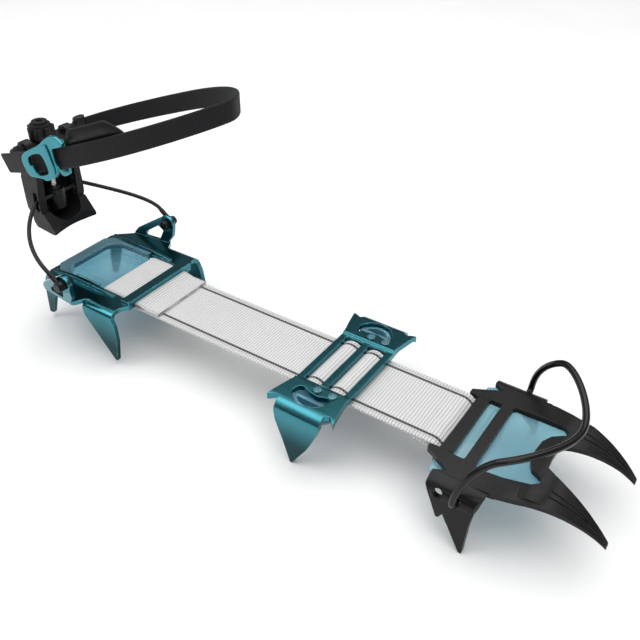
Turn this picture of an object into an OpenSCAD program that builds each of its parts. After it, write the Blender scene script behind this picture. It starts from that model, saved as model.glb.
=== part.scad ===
// Crampon with a webbing link, a wire toe bail and a heel lever on a cable.
// +X runs from heel to toe, +Y to the wearer's left, +Z up. The origin is the centre of
// the middle frame's centre bar, on its top face, where the boot's sole rests. Heights in
// the modules are counted from the linking strap's top face, which at_sole() puts below it.

/* [Linking strap] */
// Width of the webbing that links the three frames
strap_w = 40; // [38:0.5:40]
// Thickness of the webbing
strap_t = 1.6; // [1.3:0.1:1.7]

/* [Front frame] */
// Distance from the origin to the rear edge of the front frame
front_x = 62.7; // [60:0.5:75]
// Thickness of the steel sheet
steel_t = 2.8; // [2.4:0.1:3]
// Height of the crown of the front points above the plate
crown_h = 2.6; // [2:0.2:3.4]
// Radius of the front points' downward curve
point_r = 47; // [42:1:50]
// Lean of the side flanges away from vertical, in degrees
flange_lean = 9; // [6:0.5:10]
// Diameter of the toe bail's wire
bail_d = 3.3; // [3:0.1:4]

/* [Middle frame] */
// Thickness of the middle frame's sheet
mid_t = 3; // [2.6:0.1:3.2]
// Depth of the side points below the strap
mid_depth = 30; // [26:0.5:32]
// Width of each slot for the strap
slot_w = 10; // [9:0.2:10.4]

/* [Heel frame] */
// Distance from the origin back to the ears' pivot axis
heel_back = 156.3; // [155:0.5:172]
// Height of the ears' pivot axis above the strap
ear_h = 15.6; // [14.6:0.2:17]
// Thickness of the heel frame's sheet
heel_t = 2.5; // [2.2:0.1:2.7]
// Depth of the heel points below the strap
heel_depth = 27; // [24:0.5:29]

/* [Heel lever] */
// Height of the cable's axis inside the lever
lever_z = 41.1; // [40:0.5:44]
// Width of the lever's body
lever_w = 32.4; // [32:0.2:34]
// Outside diameter of the adjuster's thread
screw_d = 3.6; // [3.2:0.1:3.6]
// Diameter of the thumb wheel
wheel_d = 15; // [13:0.5:16]
// Diameter of the heel cable
cable_d = 2.4; // [2:0.1:2.5]

/* [Ankle strap] */
// Width of the ankle webbing
ankle_w = 10.2; // [9:0.2:12]
// Thickness of the ankle webbing
ankle_t = 1.8; // [1.4:0.1:2]
// Rise of the ankle loop for each millimetre forward
ankle_rise = 0.352; // [0.25:0.01:0.45]

/* [Hidden] */
$fn = 64;
eps = 0.01;
gap = 0.2;        // clearance between pieces that only lie on each other
run = 0.05;       // radial clearance of every shaft that turns

// Front frame, in its own coordinates from its rear edge
rod_d = 3;
rod_at = [1.5, -6.4];
flange_y = 41;
bend_y = 33.4;
bail_at = [17.7, -5.4];
bail_y = 44.2;
bail_hole_r = 2.3;
spare_at = [9.4, -5.4];
side_tip_z = -30;
crown_x = 43;
rise_start = 14;
arm_tip_x = 77.2;
rise_r = ((crown_x - rise_start) * (crown_x - rise_start) + crown_h * crown_h) / (2 * crown_h);

// Strap, in the part's coordinates
flex_x = -70.3;
heel_x = -heel_back;
main_end = heel_x + 19;
fold_x = heel_x + 6.7;
tail_end = heel_x + 47.5;
bar_x = heel_x + 25;
lock_t = 2;
tail_z = 0.05;

// Middle frame
mid_len = 30.6;
bar_w = 3.6;
mid_top = 3.9;
mid_rise = 1.1;
mid_half = 36.2;
bend_r = 6.5;

// Heel frame, from the pivot axis
plate_top = 3.6;
bar_top = 5.9;
ear_y = 39.3;
ear_t = 2.5;
pivot_d = 3.6;
ear_r = 5.2;
ear_splay = 9;
ear_yaw = 5.7;
heel_flat = 31.4;
heel_bend_r = 5;
cable_angle = 38;

// Heel lever
lever_x = heel_x - 44.5;
screw_x = lever_x - 3.2;
barrel_x = lever_x - 2.4;
barrel_r = 5.2;
barrel_z = 31.7;
barrel_h = 12;
wheel_z = 74;
anchor_z = 72;

// Ankle loop
loop_a = 69.8;
loop_b = 44;

steel = "#3a3838";
teal = "#2f8090";
ice = [0.36, 0.68, 0.8, 0.55];
webbing = "#ececec";
black = "#26272a";

// ---------- shared shapes ----------

// Moves a piece from the strap's top face down to the sole's level
module at_sole() {
    translate([0, 0, -mid_top]) children();
}

// Everything given, and its mirror image across the centre plane
module both_sides() {
    children();
    mirror([0, 1, 0]) children();
}

// A solid with side outline children(), from y = y0 to y = y1
module across(y0, y1) {
    translate([0, y1, 0]) rotate([90, 0, 0]) linear_extrude(y1 - y0) children();
}

// A bar along Y at (x, z)
module y_bar(x, z, r, y0, y1) {
    translate([x, y0, z]) rotate([-90, 0, 0]) cylinder(r = r, h = y1 - y0);
}

// A rectangle with rounded corners, given by its lower and upper corners
module rounded(low, high, r) {
    translate(low + [r, 0]) square([high[0] - low[0] - 2 * r, high[1] - low[1]]);
    translate(low + [0, r]) square([high[0] - low[0], high[1] - low[1] - 2 * r]);
    for (x = [low[0] + r, high[0] - r], y = [low[1] + r, high[1] - r])
        translate([x, y]) circle(r);
}

// A point on a cubic Bezier curve
function bezier(p, t) =
    pow(1 - t, 3) * p[0] + 3 * t * pow(1 - t, 2) * p[1]
    + 3 * t * t * (1 - t) * p[2] + pow(t, 3) * p[3];

function unit(v) = v / norm(v);

// A tube along a list of points: a ring of sides points round each, joined in turn
module tube(path, r, sides = 12) {
    n = len(path);
    dirs = [for (i = [0:n - 1]) unit(path[min(i + 1, n - 1)] - path[max(i - 1, 0)])];
    rings = [for (i = [0:n - 1]) let (
            u = unit(cross(dirs[i], abs(dirs[i][2]) > 0.9 ? [1, 0, 0] : [0, 0, 1])),
            v = cross(dirs[i], u))
        for (k = [0:sides - 1])
            path[i] + r * (cos(360 * k / sides) * u + sin(360 * k / sides) * v)];
    walls = [for (i = [0:n - 2], k = [0:sides - 1]) let (k2 = (k + 1) % sides)
        [i * sides + k, (i + 1) * sides + k, (i + 1) * sides + k2, i * sides + k2]];
    caps = [[for (k = [0:sides - 1]) k], [for (k = [sides - 1:-1:0]) (n - 1) * sides + k]];
    polyhedron(rings, concat(caps, walls));
}

// ---------- front section ----------

// Height of the front frame's top face at a distance from its rear edge
function front_top(x) =
    x < rise_start ? 0
    : x < crown_x ? rise_r - sqrt(rise_r * rise_r - pow(x - rise_start, 2))
    : crown_h - point_r + sqrt(point_r * point_r - pow(x - crown_x, 2));

// Thickness of the front frame, which thins towards the tips
function front_thick(x) =
    steel_t * (x < crown_x ? 1 : 1 - 0.65 * (x - crown_x) / (arm_tip_x - crown_x));

// Plan of one half of the front frame, with its front point
module front_half_plan() {
    difference() {
        polygon([[0, -eps], [0, strap_w / 2 + gap], [-4.7, strap_w / 2 + 0.5], [-4.7, 23.3],
            [-1, 25.2], [8.6, 30.6], [3.6, bend_y], [3.6, bend_y + eps], [31, bend_y + eps],
            [32, 32.8], [42, 31.4], [52, 28.9],
            [62, 26.4], [70, 24.2], [arm_tip_x, 22.2], [arm_tip_x, 19], [70, 17.2],
            [62, 14.6], [55, 12.2], [49, 9.8], [44.6, 7.6], [44.2, -eps]]);
        rounded([5.9, -21], [12, 21], 1.2);
        front_window();
    }
}

// The large window, with a lobe in each front corner
module front_window() {
    difference() {
        polygon([[17.3, -22.6], [17.3, 22.6], [30, 22.2], [42, 20.4], [44.8, 18], [44.2, 14.8],
            [39, 11.5], [36.6, 7], [36, 0], [36.6, -7], [39, -11.5], [44.2, -14.8], [44.8, -18],
            [42, -20.4], [30, -22.2]]);
        for (s = [-1, 1])
            translate([17.3, 22.6 * s]) rotate(45) square(2, center = true);
    }
}

// Side outline of a flange: rounded rear corner, small tooth, side point
module flange_outline() {
    polygon([[5.8, 1], [29, 1], [27.6, -4.6], [26.2, -9], [25.5, -15], [25.2, side_tip_z],
        [23.9, side_tip_z], [13.4, -14.5], [11.8, -17], [10.6, -17.2], [3.1, -3], [3.1, 1]]);
    translate([5.7, -2.6]) circle(2.6);
}

// Cross-section of the front frame's side, which bends down into the flange
module flange_section() {
    bend = flange_y - bend_y;
    reach = -side_tip_z;
    lean = (reach - bend) * tan(flange_lean);
    intersection() {
        difference() {
            translate([bend_y, -bend]) circle(bend);
            translate([bend_y, -bend]) circle(bend - steel_t);
        }
        translate([bend_y, -bend]) square(bend);
    }
    polygon([[flange_y - steel_t, -bend + eps], [flange_y, -bend + eps],
        [flange_y + lean, -reach], [flange_y + lean - steel_t, -reach]]);
}

// A side flange with its two bail holes
module front_flange() {
    difference() {
        intersection() {
            rotate([90, 0, 90]) linear_extrude(40) flange_section();
            across(20, 60) flange_outline();
            linear_extrude(80, center = true)
                polygon([[0, 30], [0, 60], [27.4, 60], [26.4, 39.6], [31, 33.4], [31, 30]]);
        }
        for (at = [bail_at, spare_at])
            y_bar(at[0], at[1], bail_hole_r, flange_y - 8, flange_y + 5);
    }
}

// Two ruled lines stamped along a front point, following its curve
module point_groove() {
    across(-0.4, 0.4) polygon(concat(
        [for (x = [50:2:72]) [x, front_top(x) + 1]],
        [for (x = [72:-2:50]) [x, front_top(x) - 0.7]]));
}

module front_frame() at_sole() {
    color(steel) translate([front_x, 0, 0]) {
        difference() {
            both_sides() intersection() {
                translate([0, 0, -20]) linear_extrude(30) front_half_plan();
                across(0, 60) polygon(concat(
                    [[-6, 0]], [for (x = [rise_start:1.5:arm_tip_x]) [x, front_top(x)]],
                    [for (x = [arm_tip_x:-1.5:rise_start]) [x, front_top(x) - front_thick(x)]],
                    [[-6, -steel_t]]));
            }
            both_sides() {
                translate([30, 31, 1.9]) rotate([0, 0, -8.8]) rotate([-16, 0, 0])
                    cube([70, 30, 12]);
                for (turn = [-5, 5])
                    translate([72, 20.6, 0]) rotate([0, 0, turn]) translate([-72, 0, 0]) point_groove();
            }
        }
        both_sides() {
            front_flange();
            difference() {
                across(20.5, 23.2) union() {
                    translate([-1.4, -6.4]) square([5.8, 6.4]);
                    translate(rod_at) circle(3.2);
                }
                y_bar(rod_at[0], rod_at[1], rod_d / 2 + run, 19, 25);
            }
        }
    }
}

// The bail's half curve: a leg up from the hole, then a bow in to the centre
function bail_half(n) = let (
        hole = [bail_at[0], bail_y, bail_at[1]],
        knee = [31, 36.8, 23.4],
        leg = [hole, hole + [0.2, 0.2, 12], knee - [8, -2.7, 5.4], knee],
        bow = [knee, knee + [6.5, -2.2, 3], [52.8, 14, 22.9], [52.8, 0, 22.5]])
    concat([for (i = [0:n - 1]) bezier(leg, i / n)], [for (i = [0:n]) bezier(bow, i / n)]);

module toe_bail() at_sole() {
    side = bail_half(10);
    n = len(side) - 1;
    far = [for (i = [n - 1:-1:0]) [side[i][0], -side[i][1], side[i][2]]];
    color(steel) translate([front_x, 0, 0]) {
        tube(concat(side, far), bail_d / 2);
        both_sides() {
            y_bar(bail_at[0], bail_at[1], bail_d / 2, flange_y - 6, bail_y);
            translate([bail_at[0], bail_y, bail_at[1]]) sphere(bail_d / 2 + 0.06);
        }
    }
}

// Plan of one half of the plate under the front frame
module front_plate_plan() {
    polygon([[5.2, -eps], [5.2, 23.6], [-0.4, 23.7], [-2.2, 25], [-2.4, 28], [-0.6, 31.4], [3.4, 33.8],
        [10, 34.2], [30, 30], [44, 27], [49, 20], [46, 12], [42, 6], [40, -eps]]);
}

module front_antiball_plate() at_sole() {
    skin = 1.4;
    color(ice) translate([front_x, 0, 0]) both_sides() {
        intersection() {
            translate([0, 0, -20]) linear_extrude(30) front_plate_plan();
            across(0, 60) polygon(concat(
                [[0, -steel_t - gap]],
                [for (x = [rise_start:3:56]) [x, front_top(x) - steel_t - gap]],
                [for (x = [56:-3:rise_start]) [x, front_top(x) - steel_t - gap - skin]],
                [[0, -steel_t - gap - skin]]));
        }
        translate([9, 0, -steel_t - gap - skin - 3]) cube([1.6, 20, 3 + eps]);
    }
}

module front_strap_rod() at_sole() {
    color("silver") translate([front_x, 0, 0]) y_bar(rod_at[0], rod_at[1], rod_d / 2, -24.4, 24.4);
}

// ---------- linking strap ----------

// Points round the front of the strap rod, from above it to below it
function round_rod(r, n = 15) = [for (i = [0:n]) let (a = 90 - 180 * i / n)
    [front_x + rod_at[0] + r * cos(a), rod_at[1] + r * sin(a)]];

// The strap's front end dips under the frame, wraps the rod and is sewn back under itself
module linking_strap_front() at_sole() {
    nose = strap_t / 2;
    start = flex_x + nose + 0.1;
    ring_in = rod_d / 2 + run;
    ring_out = ring_in + strap_t;
    rz = rod_at[1];
    color(webbing) across(-strap_w / 2, strap_w / 2) difference() {
        polygon(concat([[start, 0], [front_x - 4.6, 0], [front_x - 0.6, rz + ring_out]],
            round_rod(ring_out),
            [[front_x - 2.4, rz - ring_out], [front_x - 7, -2 * strap_t],
            [front_x - 14, -2 * strap_t], [front_x - 14, -strap_t], [start, -strap_t]]));
        polygon(concat([[front_x - 5.7, -strap_t], [front_x - 1.2, rz + ring_in]], round_rod(ring_in),
            [[front_x - 1.4, rz - ring_in]]));
    }
}

module linking_strap_rear() at_sole() {
    nose = strap_t / 2;
    color(webbing) across(-strap_w / 2, strap_w / 2) union() {
        translate([flex_x, -nose]) circle(nose);
        translate([main_end, -strap_t]) square([flex_x - main_end, strap_t]);
    }
}

// The end of the strap: up round the lock bar, under the front bar, and on as a free tail
module linking_strap_fold() at_sole() {
    inner = (lock_t + 2 * gap) / 2;
    outer = inner + strap_t;
    high = 2 * inner;
    under = bar_top - heel_t - strap_t - 0.1;
    color(webbing) across(-strap_w / 2, strap_w / 2) union() {
        difference() {
            translate([fold_x, inner]) circle(outer);
            translate([fold_x, inner]) circle(inner);
            translate([fold_x, -10]) square([20, 20]);
        }
        translate([fold_x - eps, -strap_t]) square([3, strap_t]);
        polygon([[fold_x - eps, high], [bar_x - 3, high], [bar_x - 1, under], [bar_x + 7, under],
            [bar_x + 12, tail_z], [tail_end, tail_z], [tail_end, tail_z + strap_t],
            [bar_x + 12.4, tail_z + strap_t], [bar_x + 7.4, under + strap_t],
            [bar_x - 0.8, under + strap_t], [bar_x - 2.8, high + strap_t],
            [fold_x - eps, high + strap_t]]);
    }
}

module strap_lock_bar() at_sole() {
    color(black) translate([0, -strap_w / 2 - 0.8, gap]) difference() {
        translate([fold_x - 0.6, 0, 0]) cube([14, strap_w + 1.6, lock_t]);
        for (y = [5, strap_w - 3.4])
            translate([fold_x + 6, y, -1]) cylinder(r = 1.5, h = 5);
    }
}

// ---------- middle section ----------

// Plan of one side of the middle frame: teeth, notch and the edge where the point bends down
module mid_side_plan() {
    difference() {
        polygon([[-15.3, 19.7], [-15.3, 23], [-17.2, 30], [-19.4, 39.2], [-14.6, 36.8], [-13.4, 38],
            [-13.4, mid_half + bend_r], [12, mid_half + bend_r], [12, 37.5], [14.2, 36.4],
            [18.3, 39.4], [16.6, 31], [15.3, 24], [15.3, 19.7]]);
        mid_hole();
    }
}

// The D-shaped hole: a flat inner edge and a round outer one
module mid_hole() {
    intersection() {
        translate([-0.9, 27.2]) circle(10.2);
        polygon([[-9.6, 26.4], [-7, 25.6], [-3, 27.4], [2, 28.2], [7, 26.4], [9, 27], [12, 42], [-14, 42]]);
    }
}

// Cross-section of one side of the middle frame: flat, then bent down
module mid_section() {
    top = mid_top + mid_rise;
    polygon([[19, mid_top], [20.6, mid_top], [21.7, top], [mid_half, top], [mid_half, top - mid_t],
        [21.7, top - mid_t], [20.6, mid_top - mid_t], [19, mid_top - mid_t]]);
    intersection() {
        difference() {
            translate([mid_half, top - bend_r]) circle(bend_r);
            translate([mid_half, top - bend_r]) circle(bend_r - mid_t);
        }
        translate([mid_half, top - bend_r]) square(bend_r);
    }
    translate([mid_half + bend_r - mid_t, -mid_depth - 1]) square([mid_t, mid_depth + 1 + top - bend_r]);
}

// Side outline of the middle frame's points
module mid_point_outline() {
    polygon([[-22, 1], [-13.4, 1], [-12.6, -6], [-8.2, -18], [-4.4, -mid_depth], [-3.2, -mid_depth],
        [5.2, -17], [9.8, -7], [12, -1], [20, -1], [20, 6], [-22, 6]]);
}

module mid_frame() at_sole() {
    color(teal) {
        difference() {
            translate([-mid_len / 2, -20, mid_top - mid_t]) cube([mid_len, 40, mid_t]);
            for (s = [-1, 1])
                translate([s * (slot_w + bar_w) / 2, 0, 0]) linear_extrude(10)
                    rounded([-slot_w / 2, -19.7], [slot_w / 2, 19.7], 0.8);
        }
        both_sides() difference() {
            intersection() {
                rotate([90, 0, 90]) translate([0, 0, -25]) linear_extrude(50) mid_section();
                translate([0, 0, -50]) linear_extrude(60) mid_side_plan();
                across(0, 60) mid_point_outline();
            }
            for (x = [-0.2, 8.2])
                translate([x, 24.6, -5]) cylinder(r = 1.5 + run, h = 20);
        }
    }
}

// Plan of the bead that stands up from the anti-ball plate inside a wing's hole
module mid_dome_plan(inset) {
    intersection() {
        translate([-0.9, 27.2]) circle(10.2 - inset);
        translate([-12, 28.7 + inset]) square([24, 12]);
    }
}

module mid_antiball_plate() at_sole() {
    skin = 1.4;
    top = -strap_t - gap;
    color(ice) {
        translate([0, 0, top - skin]) linear_extrude(skin) rounded([-12.8, -36.6], [12.8, 36.6], 6);
        for (s = [-1, 1])
            translate([s * (slot_w + bar_w) / 2 - 1, -18, top - skin - 4]) cube([2, 36, 4 + eps]);
        both_sides() {
            translate([0, 0, top - eps]) linear_extrude(3 - top) difference() {
                mid_dome_plan(0.8);
                mid_dome_plan(2.5);
            }
            for (x = [-0.2, 8.2]) {
                translate([x, 24.6, top - eps]) cylinder(r = 1.5, h = mid_top + mid_rise + 0.3 - top);
                translate([x, 24.6, mid_top + mid_rise + gap / 4]) cylinder(r = 2.1, h = 0.6);
            }
        }
    }
}

// ---------- heel section ----------

// Plan of one half of the heel plate's outer edge
module heel_half_plan() {
    difference() {
        polygon([[-33.7, -eps], [-34.6, 19], [-34.6, 24], [-32, 28], [-28.4, 31], [-25, 34.4],
            [-25, 37], [-14, 38.1], [0.8, 39.6], [2.4, 38.4], [5, 33.6], [9, heel_flat],
            [27, heel_flat], [28.4, 28], [31, 25], [31, -eps]]);
        polygon([[-28, -1], [-28, 13.5], [-24, 18], [-19, 20.5], [0, 20.5], [3, 21], [26, 21],
            [40, 21], [40, -1]]);
    }
}

// Outline of an ear from the pivot: two legs to a rounded head, with a five-sided window
module ear_outline() {
    foot = plate_top - heel_t - ear_h;
    difference() {
        union() {
            polygon([[-25, foot], [-25, -11.4], [-22.3, -7.9], [-12.6, -1.8], [-2.8, 4.3], [5.1, -0.4],
                [4.4, -7.2], [1, foot + heel_t], [0.8, foot]]);
            circle(ear_r);
        }
        polygon([[-17, foot + heel_t], [-16, -9], [-6.4, -2.7], [-2.6, -5.2], [-5, -10.8],
            [-7, foot + heel_t]]);
    }
}

// An ear: it splays outward and forward, and is flat on both faces round the axle
module heel_ear() {
    mid = ear_y + ear_t / 2;
    difference() {
        union() {
            translate([0, mid, ear_h]) rotate([-ear_splay, 0, ear_yaw])
                across(-ear_t / 2, ear_t / 2) ear_outline();
            y_bar(0, ear_h, ear_r, ear_y, ear_y + ear_t);
        }
        y_bar(0, ear_h, ear_r + 0.7, ear_y + ear_t, ear_y + 8);
        y_bar(0, ear_h, 3.8, ear_y - 4, ear_y);
        y_bar(0, ear_h, pivot_d / 2 + run, ear_y - 1, ear_y + ear_t + 1);
    }
}

// Cross-section of the heel plate's edge where it bends down into a front point
module heel_section() {
    outer = heel_flat + heel_bend_r;
    low = plate_top - heel_bend_r;
    translate([heel_flat - 2, plate_top - heel_t]) square([2, heel_t]);
    intersection() {
        difference() {
            translate([heel_flat, low]) circle(heel_bend_r);
            translate([heel_flat, low]) circle(heel_bend_r - heel_t);
        }
        translate([heel_flat, low]) square(heel_bend_r);
    }
    polygon([[outer - heel_t, low], [outer, low], [outer + 1.4, -heel_depth - 1],
        [outer + 1.4 - heel_t, -heel_depth - 1]]);
}

// Side outline of a front heel point
module heel_front_point_outline() {
    polygon([[5.2, 6], [5.2, -1], [6.4, -5], [27.2, -heel_depth], [28.6, -heel_depth], [30.2, -14],
        [29.4, -5], [27.6, 0], [27.4, 6]]);
}

// One rear heel point: a narrow blade that hangs from the plate's rear corner
module heel_rear_point() {
    across(0, heel_t) polygon([[-34, plate_top], [-27.4, plate_top], [-30.4, -8], [-37.9, -heel_depth],
        [-41, -heel_depth], [-39.4, -8], [-37, -1]]);
}

// Arched ridge along the inner edge of each side
module heel_ridge() {
    ridge_r = 136;
    across(22, 24) intersection() {
        translate([-7, plate_top + 2.8 - ridge_r]) circle(ridge_r, $fn = 256);
        translate([-32, plate_top - 1]) square([49, 6]);
    }
}

module heel_frame() at_sole() {
    color(teal) translate([heel_x, 0, 0]) both_sides() {
        translate([0, 0, plate_top - heel_t]) linear_extrude(heel_t) heel_half_plan();
        translate([25, -eps, bar_top - heel_t]) cube([6, 25, heel_t]);
        translate([25, 21, plate_top - heel_t]) cube([6, 4, bar_top - plate_top + heel_t]);
        heel_ear();
        intersection() {
            rotate([90, 0, 90]) linear_extrude(40) heel_section();
            across(20, 60) heel_front_point_outline();
        }
        translate([0, 24.6, 0]) heel_rear_point();
        heel_ridge();
    }
}

// Outline of one half of the tray's wall, with its outer face at the given inset
function tray_edge(inset) = [[-28 + inset, 0], [-28 + inset, 13.5 - inset / 2],
    [-24 + inset * 0.7, 18 - inset * 0.7], [-19 + inset / 3, 20.5 - inset], [2.4, 20.5 - inset]];
function mirrored(half) = concat(half, [for (i = [len(half) - 1:-1:0]) [half[i][0], -half[i][1]]]);

module heel_antiball_plate() at_sole() {
    skin = 1.3;
    floor_z = -strap_t - gap - skin;
    rim_z = plate_top + gap / 2;
    color(ice) translate([heel_x, 0, 0]) {
        translate([0, 0, rim_z]) linear_extrude(skin) difference() {
            polygon(mirrored([[-33.8, 0], [-33.8, 17.5], [-28, 21.7], [2.4, 21.7]]));
            polygon(mirrored(concat(tray_edge(0.3 + skin), [[5, 20.5 - 0.3 - skin]])));
        }
        translate([0, 0, floor_z]) linear_extrude(rim_z + eps - floor_z) difference() {
            polygon(mirrored(tray_edge(0.3)));
            polygon(mirrored(concat(tray_edge(0.3 + skin), [[5, 20.5 - 0.3 - skin]])));
        }
        translate([0, 0, floor_z]) linear_extrude(skin)
            polygon(mirrored(concat(tray_edge(0.3), [[22, 20.2]])));
    }
}

// The axle in each ear: shaft, and a head outside the cable's eye
module cable_pivot_bolts() at_sole() {
    out = ear_y + ear_t;
    color(black) translate([heel_x, 0, 0]) both_sides() {
        y_bar(0, ear_h, pivot_d / 2, ear_y - 2.4, out + 3.2);
        y_bar(0, ear_h, 2.6, out + 3.1, out + 4.2);
    }
}

module cable_pivot_caps() at_sole() {
    color(black) translate([heel_x, 0, 0]) both_sides() difference() {
        union() {
            y_bar(0, ear_h, 3, ear_y - 1.7, ear_y - 0.1);
            y_bar(0, ear_h, 2.5, ear_y - 3.2, ear_y - 1.6);
        }
        y_bar(0, ear_h, pivot_d / 2 + 0.002, ear_y - 2.6, ear_y);
    }
}

// A cable eye: a ring on the axle and a crimped sleeve along the cable
module cable_eyes() at_sole() {
    y0 = ear_y + ear_t + gap;
    sleeve_y = y0 + 1.4;
    color(black) translate([heel_x, 0, 0]) both_sides() difference() {
        union() {
            y_bar(0, ear_h, 3, y0, y0 + 2.8);
            translate([0, sleeve_y, ear_h]) rotate([0, cable_angle - 90, 0])
                translate([0, 0, 2]) cylinder(r = cable_d / 2 + 0.25, h = 7.4);
        }
        y_bar(0, ear_h, pivot_d / 2 + run, y0 - 1, y0 + 4);
        translate([0, sleeve_y, ear_h]) rotate([0, cable_angle - 90, 0])
            translate([0, 0, 6]) cylinder(r = cable_d / 2 + 0.002, h = 9);
    }
}

// Half of the cable, from the eye to the lever's side
function cable_half(n) = let (
        y0 = ear_y + ear_t + gap + 1.4,
        out = [-cos(cable_angle), 0, sin(cable_angle)],
        eye = [0, y0, ear_h],
        end = [lever_x - heel_x, lever_w / 2 + 0.4, lever_z],
        bend = [eye + 10 * out, eye + 19 * out + [0, 0.6, 0], end + [6, 19, -11.4], end])
    concat([eye + 6.2 * out], [for (i = [0:n - 1]) bezier(bend, i / (n - 1))]);

module heel_cable() at_sole() {
    side = cable_half(14);
    far = [for (i = [14:-1:0]) [side[i][0], -side[i][1], side[i][2]]];
    color(black) translate([heel_x, 0, 0]) tube(concat(side, far), cable_d / 2);
}

// ---------- heel lever ----------

// The nut that the cable passes through: a barrel with a neck, that the screw turns in
module cable_carrier() at_sole() {
    color(black) difference() {
        union() {
            translate([barrel_x, 0, barrel_z]) cylinder(r = barrel_r, h = barrel_h);
            translate([screw_x, 0, barrel_z]) cylinder(r = 3.4, h = barrel_h + 1.2);
        }
        y_bar(lever_x, lever_z, cable_d / 2 + run, -20, 20);
        translate([screw_x, 0, 20]) cylinder(r = screw_d / 2 + run, h = 30);
    }
}

// Plan of the lever's body: open to the front
module lever_plan() {
    difference() {
        polygon([[-14, 5 - lever_w / 2], [-9, -lever_w / 2], [4.4, -lever_w / 2], [4.4, lever_w / 2],
            [-9, lever_w / 2], [-14, lever_w / 2 - 5]]);
        translate([-6.7, -11.3]) square([20, 22.6]);
    }
}

// Side outline of the lever's body: it leans forward from the foot to the head
module lever_outline() {
    polygon([[-13.6, 42], [-8.4, 60], [-7.6, 73.5], [3, 73.5], [4.4, 60], [2.9, 44], [2.4, 36],
        [2, 23.8], [-5.4, 24], [-9.2, 27.4], [-10.6, 36]]);
}

// Front outline of the lever's body: it narrows towards the head
module lever_front_outline() {
    foot = lever_w / 2;
    head = foot - 1.6;
    polygon([[5.6 - foot, 23], [foot - 5.6, 23], [foot, 36], [foot, 42], [head, 62], [head, 74],
        [-head, 74], [-head, 62], [-foot, 42], [-foot, 36]]);
}

// The flared lip, hollowed to the curve of a boot's heel
module lever_lip() {
    difference() {
        across(-15.5, 15.5) polygon([[-7.2, 34], [3.6, 34], [10.8, 24.4], [10.2, 22.6], [8, 22.2],
            [-5.4, 23.6], [-7.2, 26.4]]);
        translate([46, 0, 10]) cylinder(r = 38.6, h = 30, $fn = 96);
    }
}

module lever_body() at_sole() {
    slot_r = cable_d / 2 + 0.5;
    travel = 4.6;
    color(black) translate([lever_x, 0, 0]) difference() {
        union() {
            intersection() {
                translate([0, 0, 20]) linear_extrude(60) lever_plan();
                across(-20, 20) lever_outline();
                rotate([90, 0, 90]) translate([0, 0, -20]) linear_extrude(40) lever_front_outline();
            }
            translate([-7.6, -11.8, 60]) cube([10.4, 23.6, 13.5]);
            lever_lip();
            both_sides() across(11.6, 16.4) union() {
                translate([0, anchor_z + 2]) circle(4.2);
                translate([-4.2, 62]) square([8.4, anchor_z + 2 - 62]);
            }
        }
        rotate([90, 0, 90]) translate([0, 0, -6.7]) linear_extrude(30) union() {
            translate([0, 37.4]) circle(11.3);
            translate([-11.3, 37.2]) square([22.6, 22]);
        }
        translate([screw_x - lever_x, 0, 50]) cylinder(r = screw_d / 2 + 0.3, h = 40);
        translate([barrel_x - lever_x, 0, barrel_z - travel + 0.4]) cylinder(r = barrel_r + 0.3, h = 26);
        across(-25, 25) union() {
            translate([-slot_r, lever_z - travel]) square([2 * slot_r, 2 * travel]);
            for (s = [-1, 1])
                translate([0, lever_z + s * travel]) circle(slot_r);
        }
        y_bar(0, anchor_z + 2, 1.002, -25, 25);
    }
}

module height_screw() at_sole() {
    color("silver") translate([screw_x, 0, 0])
        translate([0, 0, 30]) cylinder(r = screw_d / 2, h = wheel_z + 6 - 30);
}

// Thumb wheel: lobes round a stepped body, and a hex recess on top
module thumb_wheel() at_sole() {
    lobes = 7;
    reach = wheel_d / 2 - 2.4;
    color(black) translate([screw_x, 0, wheel_z]) difference() {
        union() {
            cylinder(r = reach + 0.6, h = 8.6);
            cylinder(r = reach - 0.8, h = 10.2);
            for (i = [0:lobes - 1])
                rotate(i * 360 / lobes) translate([reach, 0, 0.4]) cylinder(r = 2.4, h = 6.8);
        }
        translate([0, 0, -1]) cylinder(r = screw_d / 2 + 0.002, h = 7.2);
        translate([0, 0, 9.2]) cylinder(r = 2, h = 2, $fn = 6);
    }
}

// Spring clip that keeps the screw in the lever
module screw_clip() at_sole() {
    color("silver") translate([screw_x, 0, 58.6]) difference() {
        cylinder(r = screw_d / 2 + 1.4, h = 1);
        translate([0, 0, -1]) cylinder(r = screw_d / 2 + 0.002, h = 3);
    }
}

module strap_anchor_pins() at_sole() {
    color("silver") both_sides() {
        y_bar(lever_x, anchor_z + 2, 1, 12.2, 20.4);
    }
}

// ---------- ankle strap ----------

// Centre line of the ankle loop, blunt behind and pointed in front
function loop_point(t) = let (
        c = cos(t),
        reach = pow(abs(sin(t)), c > 0 ? 0.6 : 1.5),
        x = loop_a * (1 - c) - 2.5)
    [lever_x + x, loop_b * (t > 180 ? -1 : 1) * reach, anchor_z + 0.4 + ankle_rise * x];

// A point on the loop, or on the straight line that leaves the loop at the angle free
function band_point(t, free) = t <= free ? loop_point(t)
    : loop_point(free) + (t - free) * (loop_point(free) - loop_point(free - 1));

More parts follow.
